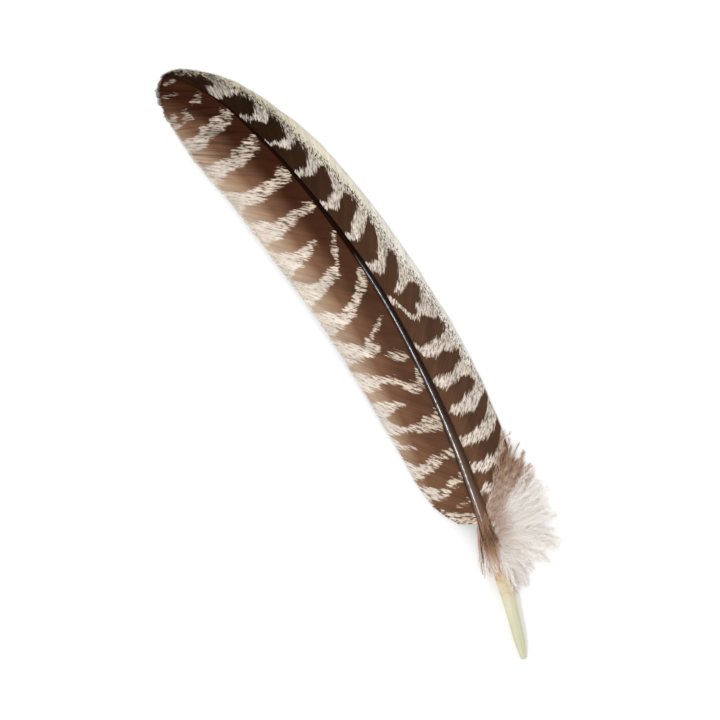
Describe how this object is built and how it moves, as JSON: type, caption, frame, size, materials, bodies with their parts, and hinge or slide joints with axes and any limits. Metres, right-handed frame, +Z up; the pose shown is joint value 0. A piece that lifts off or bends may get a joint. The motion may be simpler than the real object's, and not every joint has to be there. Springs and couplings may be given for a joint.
{
  "type": "turkey wing feather",
  "caption": "Barred brown and white bird wing feather lying flat, with a bare cream quill, a bowed dark shaft, a broad and a narrow vane, and pale down at its base.",
  "frame": {"origin": "middle of the feather's box seen from above, on the surface that it lies on", "axes": "+Y from the quill end towards the tip, along the feather's length; +Z up, out of its upper side; +X towards the narrow outer vane"},
  "size_m": [0.0638, 0.3352, 0.0111],
  "materials": {
    "quill_and_shaft": "hard smooth keratin, cream at the quill and near black along the vanes",
    "inner_vane": "soft keratin barbs with a silky sheen, brown with broken white bars",
    "outer_vane": "soft keratin barbs with a silky sheen, dark brown and white bars, cream rim",
    "down": "loose matt down, pale grey-pink, brown towards the vane"
  },
  "bodies": {
    "root": {"shaft": "quill_and_shaft", "inner_vane": "inner_vane", "outer_vane": "outer_vane", "outer_down": "down", "inner_down": "down"}
  },
  "joints": []
}
